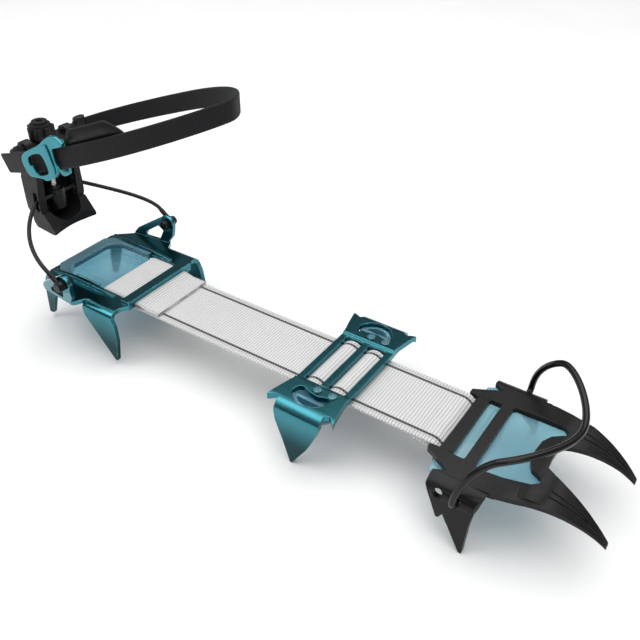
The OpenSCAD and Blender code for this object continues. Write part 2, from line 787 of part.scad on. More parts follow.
// Webbing along the loop from angle t0 to t1: out is its inner face's offset outward
// and low and high are its edges from the centre line
module loop_band(t0, t1, t, out, low, high, n = 36, free = 360) {
    pts = [for (i = [0:n]) band_point(t0 + (t1 - t0) * i / n, free)];
    dirs = [for (i = [0:n]) unit(pts[min(i + 1, n)] - pts[max(i - 1, 0)])];
    ring = [for (i = [0:n]) let (side = unit([-dirs[i][1], dirs[i][0], 0]))
        for (c = [[0, low], [1, low], [1, high], [0, high]])
            pts[i] + side * (out + c[0] * t) + [0, 0, c[1]]];
    walls = [for (i = [0:n - 1], k = [0:3]) let (k2 = (k + 1) % 4)
        [i * 4 + k, (i + 1) * 4 + k, (i + 1) * 4 + k2, i * 4 + k2]];
    polyhedron(ring, concat([[0, 1, 2, 3]], [[n * 4 + 3, n * 4 + 2, n * 4 + 1, n * 4]], walls));
}

// The sewn end of a length of webbing: an eye and a tongue that joins the band, before boring
module webbing_end(side) {
    y0 = side > 0 ? 17 : -20.4;
    y_bar(lever_x, anchor_z + 2, 1 + run + ankle_t, y0, y0 + 3.4);
    translate([lever_x, side > 0 ? 18 : -20.4, anchor_z - 4]) cube([2.8, 2.4, 9]);
}

module ankle_strap() at_sole() {
    color(black) difference() {
        union() {
            webbing_end(1);
            loop_band(15, 315, ankle_t, 0, -ankle_w / 2, ankle_w / 2, 60, 300);
        }
        y_bar(lever_x, anchor_z + 2, 1 + run, -25, 25);
    }
}

module ankle_strap_short() at_sole() {
    color(black) difference() {
        union() {
            webbing_end(-1);
            loop_band(345, 291, ankle_t, 0.6, -ankle_w / 2, ankle_w / 2, 12);
        }
        y_bar(lever_x, anchor_z + 2, 1 + run, -25, 25);
    }
}

// A ladder buckle: frame, wide slip bar, and a hook lobe over the strap's upper edge
module strap_buckle() at_sole() {
    color(teal) translate(loop_point(281)) multmatrix([[1, 0, 0, 0],
        [0, 1, 0, 0], [ankle_rise, 0, 1, 0], [0, 0, 0, 1]]) {
        across(-4.4, -2.7) difference() {
            polygon([[-8.4, 4.6], [-4.4, 6.8], [1.8, 7.8], [7.8, 9], [12.5, 11.2], [16.6, 12.2],
                [19.4, 11.5], [22.4, 9.3], [25, 6.2], [20.4, 5.8], [16, 5.8], [16.6, 1.3],
                [17.6, -2.8], [17.2, -6.2], [14, -8.6], [7.3, -9.6], [5.5, -8.2], [0.2, -7],
                [-4.5, -6.2], [-6.8, -3.2], [-8.4, 1]]);
            polygon([[-4, 3.2], [0.6, 4.8], [7.7, 4.6], [11.1, -5.6], [6.9, -6.4], [1.4, -6],
                [-1.2, -0.2], [-2.5, -1.2]]);
        }
        across(-4.4, 2.6) polygon([[8, 6.2], [16.4, 6.2], [16.4, 8.4], [8, 8]]);
        across(2.2, 3.6) polygon([[9.7, -6.6], [9.7, 8], [16.4, 8.4], [17, -6.4], [17.4, -9.2],
            [13.2, -10.2], [10.4, -9]]);
    }
}

module strap_tab() at_sole() {
    color(black) loop_band(238, 262, 1.2, -1.4, 2, 12.8, 8);
}

module strap_keeper() at_sole() {
    color(black) difference() {
        loop_band(17.5, 24.5, ankle_t + 2.6, -1.3, -ankle_w / 2 - 1.3, ankle_w / 2 + 1.3, 6);
        loop_band(14, 28, ankle_t + 2 * gap, -gap, -ankle_w / 2 - gap, ankle_w / 2 + gap, 12);
    }
}

front_frame();
toe_bail();
front_antiball_plate();
front_strap_rod();
linking_strap_front();
linking_strap_rear();
linking_strap_fold();
mid_frame();
mid_antiball_plate();
heel_frame();
heel_antiball_plate();
strap_lock_bar();
cable_pivot_bolts();
cable_pivot_caps();
cable_eyes();
heel_cable();
cable_carrier();
lever_body();
height_screw();
thumb_wheel();
screw_clip();
strap_anchor_pins();
ankle_strap();
ankle_strap_short();
strap_buckle();
strap_tab();
strap_keeper();
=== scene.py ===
"""Looks for the strap-linked crampon: procedural materials on the CAD metalwork, and webbing,
cable, bail, buckle and small plastic parts modelled here."""
import bmesh
import bpy
import math
from mathutils import Matrix, Vector


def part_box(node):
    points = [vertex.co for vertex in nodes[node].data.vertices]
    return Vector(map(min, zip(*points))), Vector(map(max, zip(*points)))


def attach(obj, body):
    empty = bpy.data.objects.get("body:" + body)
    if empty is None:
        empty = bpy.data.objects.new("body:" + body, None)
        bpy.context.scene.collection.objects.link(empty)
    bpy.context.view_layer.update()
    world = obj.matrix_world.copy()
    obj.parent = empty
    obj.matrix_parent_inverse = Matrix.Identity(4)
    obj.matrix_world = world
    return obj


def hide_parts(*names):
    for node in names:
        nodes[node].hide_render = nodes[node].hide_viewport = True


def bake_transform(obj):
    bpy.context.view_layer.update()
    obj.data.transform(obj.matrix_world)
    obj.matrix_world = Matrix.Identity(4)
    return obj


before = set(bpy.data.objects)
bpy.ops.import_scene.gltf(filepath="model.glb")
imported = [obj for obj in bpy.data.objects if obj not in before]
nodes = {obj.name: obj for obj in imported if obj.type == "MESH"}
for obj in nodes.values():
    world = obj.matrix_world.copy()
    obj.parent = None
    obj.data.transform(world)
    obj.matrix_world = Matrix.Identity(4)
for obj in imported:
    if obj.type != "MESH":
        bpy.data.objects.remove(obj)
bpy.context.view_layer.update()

# ---------- places, in millimetres, heights from the linking strap's top face ----------
STRAP_TOP = -3.9                # the strap's top face in the shared frame
STRAP_W, STRAP_T = 40.0, 1.6    # linking strap: width, thickness
FRONT = 62.7                    # rear end of the front section
ROD_X, ROD_Z = FRONT + 1.5, -6.4
FLEX = -70.3                    # the hinge in the linking strap
HEEL = -156.3                   # the axles in the heel frame's ears
EAR_Z = 15.6
BAR = HEEL + 25                 # rear edge of the heel frame's front bar
FOLD = HEEL + 6.7               # centre of the strap's fold round the lock bar
LEVER, LEVER_Z = HEEL - 44.5, 41.1    # where the cable passes through the lever
LEVER_W = 32.4
PIN_Z = 74.0                    # anchor pins of the ankle strap
ANKLE_W, ANKLE_T = 10.2, 1.8    # ankle strap: width, thickness
RISE = 0.352                    # rise of the ankle loop per unit of length
LOOP_A, LOOP_B = 69.8, 44.0     # ankle loop: half length, half width
LOOP_BACK, LOOP_Z = 2.5, 72.4   # the loop's rear end: behind the lever's axis, height
Y = Vector((0, 1, 0))
Z = Vector((0, 0, 1))


def at(x, y, z):
    """A point in metres from millimetres, with its height counted from the strap's top face."""
    return Vector((x, y, z + STRAP_TOP)) / 1000


# ---------- node materials ----------
class Mat:
    """A small builder round one Principled material."""

    def __init__(self, name, **values):
        self.mat = bpy.data.materials.new(name)
        self.mat.use_nodes = True
        self.nt = self.mat.node_tree
        self.nt.nodes.clear()
        self.out = self.nt.nodes.new("ShaderNodeOutputMaterial")
        self.bsdf = self.nt.nodes.new("ShaderNodeBsdfPrincipled")
        self.link(self.bsdf.outputs[0], self.out.inputs[0])
        for key, value in values.items():
            self.put(self.bsdf, key, value)
        self.coord = self.nt.nodes.new("ShaderNodeTexCoord")

    def link(self, a, b):
        self.nt.links.new(a, b)

    def put(self, node, key, value):
        """Sets an input to a value or links a socket to it; key is a name or a number."""
        if isinstance(key, str):
            key = key.replace("_", " ")
        socket = node.inputs[key]
        if isinstance(value, bpy.types.NodeSocket):
            self.link(value, socket)
            return
        wants_alpha = hasattr(socket.default_value, "__len__") and len(socket.default_value) == 4
        if wants_alpha and len(value) == 3:
            value = (*value, 1)
        socket.default_value = value

    def node(self, kind, out=0, **inputs):
        """Adds a node and gives its output; i0, i1 ... stand for inputs by number."""
        n = self.nt.nodes.new("ShaderNode" + kind)
        for key, value in inputs.pop("props", {}).items():
            setattr(n, key, value)
        for key, value in inputs.items():
            if key[0] == "i" and key[1:].isdigit():
                key = int(key[1:])
            self.put(n, key, value)
        return n.outputs[out]

    def math(self, op, a, b=0.0):
        return self.node("Math", i0=a, i1=b, props={"operation": op})

    def noise(self, scale, detail=3.0, rough=0.55, vector=None, stretch=None):
        vector = vector or self.coord.outputs["Object"]
        if stretch:
            vector = self.node("Mapping", Vector=vector, Scale=stretch)
        return self.node("TexNoise", Vector=vector, Scale=scale, Detail=detail, Roughness=rough)

    def smooth(self, value, low, high, to_low=0.0, to_high=1.0):
        """Maps low..high to to_low..to_high with eased ends."""
        return self.node("MapRange", Value=value, i1=low, i2=high, i3=to_low, i4=to_high,
                         props={"interpolation_type": "SMOOTHSTEP"})

    def mix(self, factor, a, b):
        """Mixes two colours; 6 and 7 are the mix node's colour inputs."""
        n = self.nt.nodes.new("ShaderNodeMix")
        n.data_type = "RGBA"
        for key, value in ((0, factor), (6, a), (7, b)):
            self.put(n, key, value)
        return n.outputs[2]

    def bump(self, height, distance, strength=1.0, normal=None):
        n = self.nt.nodes.new("ShaderNodeBump")
        self.put(n, "Height", height)
        self.put(n, "Distance", distance)
        self.put(n, "Strength", strength)
        if normal is not None:
            self.link(normal, n.inputs["Normal"])
        return n.outputs[0]

    def edges(self, radius, low, high):
        """0 on flats and 1 on sharp outer edges, from the rounded normal against the true one."""
        round_normal = self.node("Bevel", Radius=radius, props={"samples": 8})
        geometry = self.nt.nodes.new("ShaderNodeNewGeometry")
        dot = self.nt.nodes.new("ShaderNodeVectorMath")
        dot.operation = "DOT_PRODUCT"
        self.link(round_normal, dot.inputs[0])
        self.link(geometry.outputs["Normal"], dot.inputs[1])
        return self.smooth(dot.outputs["Value"], high, low), round_normal


def coated_metal(name, base, shade, wear_and_highlight_colour, metallic, rough, grain=0.3, wear_and_highlight=0.5, ior=1.5,
                 painted_shade=1.0):
    """Coated or anodised metal, paler on its edges: partly rubbed, partly a painted highlight.
    Level and lower upright faces take the base colour times a factor: painted shade, so bends look
    lit."""
    m = Mat(name, Metallic=metallic, IOR=ior)
    broad = m.noise(34, 3, 0.5)
    fine = m.noise(1500, 2, 0.6)
    edge, rounded = m.edges(0.0004, 0.80, 0.985)
    patchy = m.smooth(m.noise(420, 4, 0.7), 0.38, 0.66)
    # Paler edges: partly rubbed through in patches, partly a painted highlight.
    edge = m.math("MULTIPLY", edge, m.math("MULTIPLY", m.smooth(patchy, 0, 1, 0.35, 1.0), wear_and_highlight))
    colour = m.mix(m.smooth(broad, 0.3, 0.7), base, shade)
    colour = m.mix(m.smooth(fine, 0.35, 0.7, 0.0, 0.04), colour, wear_and_highlight_colour)
    # Painted shade: level faces, and upright faces lower down, are darkened by the factor, so the
    # bends between them look lit.
    if painted_shade < 1:
        painted_shade_colour = tuple(c * painted_shade for c in base)
        level = m.math("ABSOLUTE", m.node("SeparateXYZ", out=2, i0=rounded))
        height = m.node("SeparateXYZ", out=2, i0=m.coord.outputs["Object"])
        lower = m.smooth(height, -0.003, -0.024, 0.25, 1.0)
        colour = m.mix(m.smooth(level, 0.93, 0.995, 0.0, 0.7), colour, painted_shade_colour)
        colour = m.mix(m.math("MULTIPLY", m.smooth(level, 0.8, 0.1), lower), colour, painted_shade_colour)
    m.put(m.bsdf, "Base Color", m.mix(edge, colour, wear_and_highlight_colour))
    scuffs = m.smooth(m.noise(160, 5, 0.75, stretch=(1, 3.5, 1)), 0.45, 0.75)
    m.put(m.bsdf, "Roughness", m.math("ADD", m.math("MULTIPLY", scuffs, 0.10),
                                     m.math("ADD", m.math("MULTIPLY", fine, 0.08), rough - 0.07)))
    m.put(m.bsdf, "Normal", m.bump(fine, 0.00001, grain, rounded))
    return m.mat


def plastic(name, base, rough, grain, ior=1.48, edge_highlight_colour=None):
    """Opaque moulding with a fine grain and slightly paler edges, a painted highlight."""
    m = Mat(name, IOR=ior)
    broad = m.noise(60, 3)
    fine = m.noise(2300, 2, 0.6)
    edge, rounded = m.edges(0.0005, 0.82, 0.99)
    lighter = edge_highlight_colour or tuple(min(1, c * 2.4 + 0.01) for c in base)
    colour = m.mix(m.smooth(broad, 0.3, 0.7), base, tuple(c * 1.35 for c in base))
    # Painted highlight: the sharp edges are mixed towards the paler colour.
    m.put(m.bsdf, "Base Color", m.mix(m.math("MULTIPLY", edge, 0.45), colour, lighter))
    m.put(m.bsdf, "Roughness", m.smooth(m.noise(300, 4, 0.7), 0.3, 0.75, rough - 0.06, rough + 0.1))
    m.put(m.bsdf, "Normal", m.bump(fine, 0.00004, grain, rounded))
    return m.mat


def clear_plastic(name, deep, pale, rough, see_through):
    """Tinted translucent moulding: paler on sharp edges (painted highlight) and seen edge on
    (painted reflection).
    """
    m = Mat(name, IOR=1.46, Transmission_Weight=see_through, Coat_Weight=0.5, Coat_Roughness=0.04)
    edge, rounded = m.edges(0.0008, 0.75, 0.99)
    painted_grazing_reflection = m.node("LayerWeight", out=1, Blend=0.35)
    cloud = m.smooth(m.noise(46, 3, 0.5), 0.3, 0.7)
    colour = m.mix(cloud, deep, tuple(0.75 * d + 0.25 * p for d, p in zip(deep, pale)))
    # Painted reflection: paler where the surface is seen edge on.
    colour = m.mix(m.math("MULTIPLY", painted_grazing_reflection, 0.7), colour, pale)
    # Painted highlight: paler on the sharp edges.
    m.put(m.bsdf, "Base Color", m.mix(m.math("MULTIPLY", edge, 0.7), colour, pale))
    m.put(m.bsdf, "Roughness", m.smooth(m.noise(420, 4, 0.65), 0.3, 0.7, rough - 0.05, rough + 0.1))
    m.put(m.bsdf, "Normal", m.bump(m.noise(380, 2), 0.00001, 0.2, rounded))
    return m.mat


def webbing(name, light, dark, pitch, yarn, stripe=None, stripe_colour=(0.1, 0.1, 0.1),
            margin=None, sheen=0.15, rough=0.85, ior=1.4):
    """Ribbed narrow weave from the UV map, in metres: u along the strap and v across it.
    stripe is (distance from the middle, width), and margin is where the edge's weave starts."""
    m = Mat(name, Roughness=rough, IOR=ior)
    m.put(m.bsdf, "Sheen Weight", sheen)
    m.put(m.bsdf, "Sheen Roughness", 0.5)
    uv = m.nt.nodes.new("ShaderNodeSeparateXYZ")
    m.link(m.coord.outputs["UV"], uv.inputs[0])
    u, v = uv.outputs[0], uv.outputs[1]
    wobble = m.math("MULTIPLY", m.math("SUBTRACT", m.noise(90, 2), 0.5), pitch * 0.7)
    u = m.math("ADD", u, wobble)
    rows = m.math("DIVIDE", u, pitch)
    rib = m.math("ABSOLUTE", m.math("SINE", m.math("MULTIPLY", rows, math.pi)))
    odd = m.math("MULTIPLY", m.math("MODULO", m.math("FLOOR", rows), 2.0), 0.5)
    column = m.math("ADD", m.math("DIVIDE", v, yarn), odd)
    stitch = m.math("ABSOLUTE", m.math("SINE", m.math("MULTIPLY", column, math.pi)))
    hair = m.noise(5200, 2, 0.6, stretch=(1, 1, 0.4))
    height = m.math("ADD", m.math("MULTIPLY", m.math("POWER", rib, 0.6), 0.75),
                    m.math("MULTIPLY", stitch, 0.32))
    height = m.math("ADD", height, m.math("MULTIPLY", hair, 0.18))
    # Painted shade: grooves between the ribs and between the yarns take the dark colour, the rib
    # tops the light one.
    painted_rib_light = m.math("MULTIPLY", m.smooth(rib, 0.05, 0.38), m.smooth(stitch, -0.3, 0.6, 0.75, 1.0))
    soil = m.smooth(m.noise(55, 4, 0.6), 0.35, 0.75, 0.0, 0.14)
    colour = m.mix(painted_rib_light, dark, light)
    halfway = tuple(0.5 * (a + b) for a, b in zip(light, dark))
    colour = m.mix(soil, colour, halfway)
    across = m.math("ABSOLUTE", v)
    if stripe:
        off = m.math("ABSOLUTE", m.math("SUBTRACT", across, stripe[0]))
        band = m.smooth(off, stripe[1] * 0.5, stripe[1] * 0.5 + 0.00012, 1.0, 0.0)
        yarns = m.math("SUBTRACT", 1.0, m.math("MULTIPLY", m.math("SUBTRACT", 1.0, rib), 0.35))
        colour = m.mix(m.math("MULTIPLY", band, yarns), colour, stripe_colour)
        height = m.math("SUBTRACT", height, m.math("MULTIPLY", band, 0.35))
    if margin:
        # Painted shade at the margin: dark dots in the weave's gaps and a dark line along its
        # groove.
        rim = m.smooth(across, margin, margin + 0.0002)
        dots = m.math("MULTIPLY", m.smooth(stitch, 0.55, 0.2), m.smooth(rib, 0.75, 0.35))
        colour = m.mix(m.math("MULTIPLY", rim, m.math("MULTIPLY", dots, 0.75)), colour, dark)
        off = m.math("ABSOLUTE", m.math("SUBTRACT", across, margin))
        groove = m.smooth(off, 0.0, 0.00035, 1.0, 0.0)
        height = m.math("SUBTRACT", height, m.math("MULTIPLY", groove, 0.5))
        colour = m.mix(m.math("MULTIPLY", groove, 0.5), colour, dark)
    m.put(m.bsdf, "Base Color", colour)
    m.put(m.bsdf, "Normal", m.bump(height, pitch * 0.26, 0.9))
    return m.mat


def brushed(name, base, rough):
    """Bare steel with fine brush marks."""
    m = Mat(name, Metallic=1.0)
    fine = m.noise(900, 3, 0.6, stretch=(1, 1, 9))
    darker = tuple(c * 0.7 for c in base)
    m.put(m.bsdf, "Base Color", m.mix(m.smooth(m.noise(240, 4), 0.35, 0.7), base, darker))
    m.put(m.bsdf, "Roughness", m.smooth(fine, 0.3, 0.7, rough - 0.07, rough + 0.12))
    m.put(m.bsdf, "Normal", m.bump(fine, 0.00003, 0.4))
    return m.mat


def strand_cable(name, base):
    """Dark steel strands under a thin black sheath."""
    m = Mat(name, Metallic=0.1, IOR=1.36)
    m.put(m.bsdf, "Coat Weight", 0.12)
    m.put(m.bsdf, "Coat Roughness", 0.3)
    lighter = tuple(c * 2.2 for c in base)
    m.put(m.bsdf, "Base Color", m.mix(m.smooth(m.noise(700, 3), 0.35, 0.7), base, lighter))
    m.put(m.bsdf, "Roughness", m.smooth(m.noise(900, 3), 0.3, 0.7, 0.32, 0.5))
    m.put(m.bsdf, "Normal", m.bump(m.noise(3000, 2), 0.00002, 0.4))
    return m.mat


STEEL = coated_metal("black_coated_steel", (0.0075, 0.007, 0.007), (0.012, 0.0115, 0.011),
                     (0.10, 0.095, 0.09), 0.12, 0.31, wear_and_highlight=0.45, ior=1.33)
WIRE = coated_metal("black_coated_wire", (0.006, 0.006, 0.006), (0.009, 0.009, 0.009),
                    (0.07, 0.07, 0.07), 0.15, 0.22, grain=0.15, wear_and_highlight=0.15, ior=1.4)
# Teal: level faces and lower upright faces carry painted shade, so its bends look lit.
TEAL = coated_metal("teal_anodised", (0.058, 0.285, 0.340), (0.042, 0.225, 0.270),
                    (0.42, 0.76, 0.82), 0.97, 0.22, grain=0.12, wear_and_highlight=0.8, painted_shade=0.17)
BUCKLE = coated_metal("teal_cast", (0.045, 0.270, 0.320), (0.035, 0.225, 0.270),
                      (0.50, 0.82, 0.88), 0.95, 0.20, grain=0.1, wear_and_highlight=0.4)
DARK = coated_metal("black_plated", (0.008, 0.008, 0.0085), (0.013, 0.013, 0.013),
                    (0.10, 0.10, 0.10), 0.3, 0.28, wear_and_highlight=0.4, ior=1.4)
ICE = clear_plastic("ice_blue_moulding", (0.250, 0.540, 0.640), (0.46, 0.76, 0.84), 0.09, 0.62)
DEEP_ICE = clear_plastic("deep_blue_moulding", (0.130, 0.390, 0.520), (0.42, 0.74, 0.82),
                         0.07, 0.74)
BLACK = plastic("black_moulding", (0.0055, 0.0055, 0.006), 0.42, 0.35, ior=1.36)
KNOB = plastic("black_knob_rubber", (0.0045, 0.0045, 0.005), 0.5, 0.6, ior=1.36)
# Its grey is a painted highlight on the tab's edges.
TAB = plastic("black_tab", (0.0075, 0.0075, 0.008), 0.40, 0.3, ior=1.38,
              edge_highlight_colour=(0.10, 0.10, 0.105))
ROD = brushed("brushed_steel", (0.62, 0.62, 0.63), 0.30)
CABLE = strand_cable("sheathed_cable", (0.006, 0.006, 0.0065))
# The second colour of each webbing is the painted shade in its grooves.
WHITE_WEB = webbing("white_webbing", (0.71, 0.71, 0.705), (0.32, 0.32, 0.325), 0.00155, 0.0016,
                    stripe=(0.0158, 0.0014), stripe_colour=(0.020, 0.021, 0.022), margin=0.0175)
WHITE_BACK = webbing("white_webbing_back", (0.71, 0.71, 0.705), (0.32, 0.32, 0.325), 0.00155,
                     0.0017, margin=0.0190)
BLACK_WEB = webbing("black_webbing", (0.0115, 0.012, 0.0135), (0.004, 0.004, 0.005), 0.0009, 0.0012,
                    sheen=0.02, rough=0.7, ior=1.34)
THREAD = webbing("white_thread", (0.74, 0.74, 0.74), (0.35, 0.35, 0.35), 0.0004, 0.0005)


# ---------- mesh builders ----------
WELD = 2e-6                     # points nearer than this are one point, in metres
SHARP = 33                      # edges sharper than this are rounded, in degrees


def add_object(name, data):
    obj = bpy.data.objects.new(name, data)
    bpy.context.scene.collection.objects.link(obj)
    return obj


def add_mesh(name, verts, faces, mat, uvs=None, smooth=True):
    """A new object from points in metres; faces of many corners, the end caps, stay flat."""
    mesh = bpy.data.meshes.new(name)
    mesh.from_pydata([tuple(v) for v in verts], [], faces)
    if uvs:
        layer = mesh.uv_layers.new(name="UVMap")
        for loop in mesh.loops:
            layer.data[loop.index].uv = uvs[loop.vertex_index]
    mesh.validate()
    for p in mesh.polygons:
        p.use_smooth = smooth and len(p.vertices) < 8
    mesh.materials.append(mat)
    return add_object(name, mesh)


def arc_lengths(path):
    """Length along a polyline up to each of its points."""
    total = [0.0]
    for a, b in zip(path, path[1:]):
        total.append(total[-1] + (b - a).length)
    return total


def resample(path, step):
    """Points step apart along a polyline, with its ends kept."""
    lengths = arc_lengths(path)
    count = max(2, round(lengths[-1] / step))
    out, k = [], 0
    for i in range(count + 1):
        s = lengths[-1] * i / count
        while k < len(path) - 2 and lengths[k + 1] < s:
            k += 1
        span = lengths[k + 1] - lengths[k]
        out.append(path[k].lerp(path[k + 1], (s - lengths[k]) / span if span else 0))
    return out


def relax(path, rounds):
    """Rounds the corners of a fine polyline."""
    path = [p.copy() for p in path]
    for _ in range(rounds):
        inner = [(a + b * 2 + c) / 4 for a, b, c in zip(path, path[1:], path[2:])]
        path = [path[0]] + inner + [path[-1]]
    return path


def tangents(path):
    """The direction of a polyline at each of its points."""
    n = len(path)
    return [(path[min(i + 1, n - 1)] - path[max(i - 1, 0)]).normalized() for i in range(n)]


def sweep(name, rings, uvs, mat, closed=False):
    """Joins rings of points into a skin, with a cap on each end unless it is closed."""
    n, m = len(rings), len(rings[0])
    verts = [p for ring in rings for p in ring]
    faces = []
    for i in range(n if closed else n - 1):
        a, b = i * m, ((i + 1) % n) * m
        for k in range(m):
            k2 = (k + 1) % m
            faces.append((a + k, b + k, b + k2, a + k2))
    if not closed:
        faces.append(tuple(range(m)))
        faces.append(tuple(range((n - 1) * m, n * m))[::-1])
    return add_mesh(name, verts, faces, mat, uvs)


def ribbon(name, path, mat, width, thick, across=Y, u0=0.0, columns=12, slant=0.0):
    """Webbing along a path of centre points in metres: flat faces, rounded edges.
    across is the width's direction, or a function of the point's index. slant carries one
    edge of the last end further on than the other, in millimetres."""
    dirs = tangents(path)
    lengths = arc_lengths(path)
    half, r = width / 2000, thick / 2000
    outline = []
    for k in range(columns + 1):
        v = (half - r) * (2 * k / columns - 1)
        outline.append((v, r))
    for k in range(1, 4):
        a = math.pi * k / 4
        outline.append((half - r + r * math.sin(a), r * math.cos(a)))
    for k in range(columns + 1):
        v = (half - r) * (1 - 2 * k / columns)
        outline.append((v, -r))
    for k in range(1, 4):
        a = math.pi * k / 4
        outline.append((-half + r - r * math.sin(a), -r * math.cos(a)))
    rings, uvs = [], []
    for i, p in enumerate(path):
        side = across(i) if callable(across) else across
        side = (side - dirs[i] * side.dot(dirs[i])).normalized()
        normal = dirs[i].cross(side).normalized()
        skew = slant / 1000 * max(0.0, 1 - (lengths[-1] - lengths[i]) / 0.008)
        ring = []
        for v, w in outline:
            ring.append(p + side * v + normal * w + dirs[i] * (skew * v / half))
            uvs.append((u0 + lengths[i] + skew * v / half, v))
        rings.append(ring)
    return sweep(name, rings, uvs, mat)


def tube(name, path, mat, radius, sides=20, lobes=0, depth=0.0, twist=0.0):
    """A round bar along a path in metres, its radius in millimetres; lobes, depth and twist
    (turns per metre) make strands."""
    dirs = tangents(path)
    lengths = arc_lengths(path)
    up = Z if abs(dirs[0].z) < 0.9 else Vector((1, 0, 0))
    u = dirs[0].cross(up).normalized()
    rings, uvs = [], []
    for i, p in enumerate(path):
        u = (u - dirs[i] * u.dot(dirs[i])).normalized()
        v = dirs[i].cross(u)
        turn = 2 * math.pi * twist * lengths[i]
        ring = []
        for k in range(sides):
            a = 2 * math.pi * k / sides
            r = radius / 1000
            if lobes:
                r *= 1 - depth * (1 - abs(math.cos(lobes / 2 * (a - turn))))
            ring.append(p + u * r * math.cos(a) + v * r * math.sin(a))
            uvs.append((lengths[i], a * radius / 1000))
        rings.append(ring)
    return sweep(name, rings, uvs, mat)


def bezier(p, count, skip=0):
    """Points on a cubic curve with control points p, without the first skip points."""
    out = []
    for i in range(skip, count + 1):
        t = i / count
        out.append(p[0] * (1 - t) ** 3 + p[1] * 3 * t * (1 - t) ** 2
                   + p[2] * 3 * t * t * (1 - t) + p[3] * t ** 3)
    return out


def arc(cx, cz, r, a0, a1, count, y=0.0):
    """Points on a circle in the XZ plane, in millimetres, angles in degrees from +X towards +Z."""
    turns = [math.radians(a0 + (a1 - a0) * i / count) for i in range(count + 1)]
    return [at(cx + r * math.cos(a), y, cz + r * math.sin(a)) for a in turns]


def stitches(name, rows, mat, length, width, gap):
    """Raised thread: each row is (start, end, normal) in metres, and a stitch is a fat spindle of
    rings + 1 rings with sides corners."""
    rings = sides = 6
    verts, faces, uvs = [], [], []
    for start, end, normal in rows:
        run = (end - start).length * 1000
        count = max(1, int((run + gap) / (length + gap)))
        d = (end - start).normalized()
        side = normal.cross(d).normalized()
        for i in range(count):
            c = start + d * ((i + 0.5) * (end - start).length / count)
            base = len(verts)
            for j in range(rings + 1):
                s = -1 + 2 * j / rings
                fat = math.sqrt(max(0.02, 1 - s * s))
                for k in range(sides):
                    a = 2 * math.pi * k / sides
                    verts.append(c + d * (s * length / 2000)
                                 + side * (math.cos(a) * fat * width / 2000)
                                 + normal * ((math.sin(a) * 0.75 + 0.1) * fat * width / 2000))
                    uvs.append((s * length / 2000, a * width / 4000))
            for j in range(rings):
                for k in range(sides):
                    k2 = (k + 1) % sides
                    a, b = base + j * sides, base + (j + 1) * sides
                    faces.append((a + k, a + k2, b + k2, b + k))
            faces.append(tuple(base + k for k in range(sides - 1, -1, -1)))
            faces.append(tuple(base + rings * sides + k for k in range(sides)))
    return add_mesh(name, verts, faces, mat, uvs)


def flat_mesh(outline, holes, thick, place, rounds):
    """A flat piece from outlines in millimetres, put in place by a 4x4 matrix."""
    curve = bpy.data.curves.new("outline", "CURVE")
    curve.dimensions = "2D"
    curve.fill_mode = "BOTH"
    for loop in [outline] + holes:
        pts = chaikin(loop, rounds)
        spline = curve.splines.new("POLY")
        spline.points.add(len(pts) - 1)
        for point, (x, y) in zip(spline.points, pts):
            point.co = (x / 1000, y / 1000, 0, 1)
        spline.use_cyclic_u = True
    curve.extrude = thick / 2000
    temp = add_object("outline", curve)
    bpy.context.view_layer.update()
    solid = temp.evaluated_get(bpy.context.evaluated_depsgraph_get())
    mesh = bpy.data.meshes.new_from_object(solid)
    bpy.data.objects.remove(temp)
    mesh.transform(place)
    return mesh


def casting(name, parts, mat, voxel=0.16, rounds=10):
    """Flat parts melted into one soft-edged casting. A part is (outline, holes, thickness, place,
    corner rounds)."""
    shape = bmesh.new()
    for part in parts:
        shape.from_mesh(flat_mesh(*part))
    bmesh.ops.remove_doubles(shape, verts=shape.verts, dist=WELD)
    mesh = bpy.data.meshes.new(name)
    shape.to_mesh(mesh)
    shape.free()
    mesh.materials.clear()
    mesh.materials.append(mat)
    obj = add_object(name, mesh)
    remesh = obj.modifiers.new("melt", "REMESH")
    remesh.mode = "VOXEL"
    remesh.voxel_size = voxel / 1000
    remesh.use_smooth_shade = True
    smooth = obj.modifiers.new("soft", "SMOOTH")
    smooth.factor = 0.5
    smooth.iterations = rounds
    return obj


def round_off(obj, width, angle, segments):
    """Welds the corners of a mesh and rounds its sharp edges, width in millimetres."""
    weld = obj.modifiers.new("weld", "WELD")
    weld.merge_threshold = WELD
    bevel = obj.modifiers.new("edges", "BEVEL")
    bevel.width = width / 1000
    bevel.segments = segments
    bevel.limit_method = "ANGLE"
    bevel.angle_limit = math.radians(angle)
    bevel.miter_outer = "MITER_ARC"
    normals = obj.modifiers.new("normals", "WEIGHTED_NORMAL")
    normals.keep_sharp = False


def chaikin(loop, rounds):
    """Cuts the corners of a closed outline, keeping its shape close."""
    pts = [tuple(p) for p in loop]
    for _ in range(rounds):
        out = []
        for (x0, y0), (x1, y1) in zip(pts, pts[1:] + pts[:1]):
            out.append((0.8 * x0 + 0.2 * x1, 0.8 * y0 + 0.2 * y1))
            out.append((0.2 * x0 + 0.8 * x1, 0.2 * y0 + 0.8 * y1))
        pts = out
    return pts


def ride(obj, body, slot, *replaced):
    """Puts a piece on its body, in place of the CAD nodes it replaces; slot is not used."""
    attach(obj, body)
    if replaced:
        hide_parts(*replaced)
    return obj


def soften(node, mat, width, segments=2):
    """Rounds a CAD node's sharp edges and gives it its material."""
    obj = nodes[node]
    round_off(obj, width, SHARP, segments)
    for s in obj.material_slots:
        s.link = "OBJECT"
        s.material = mat


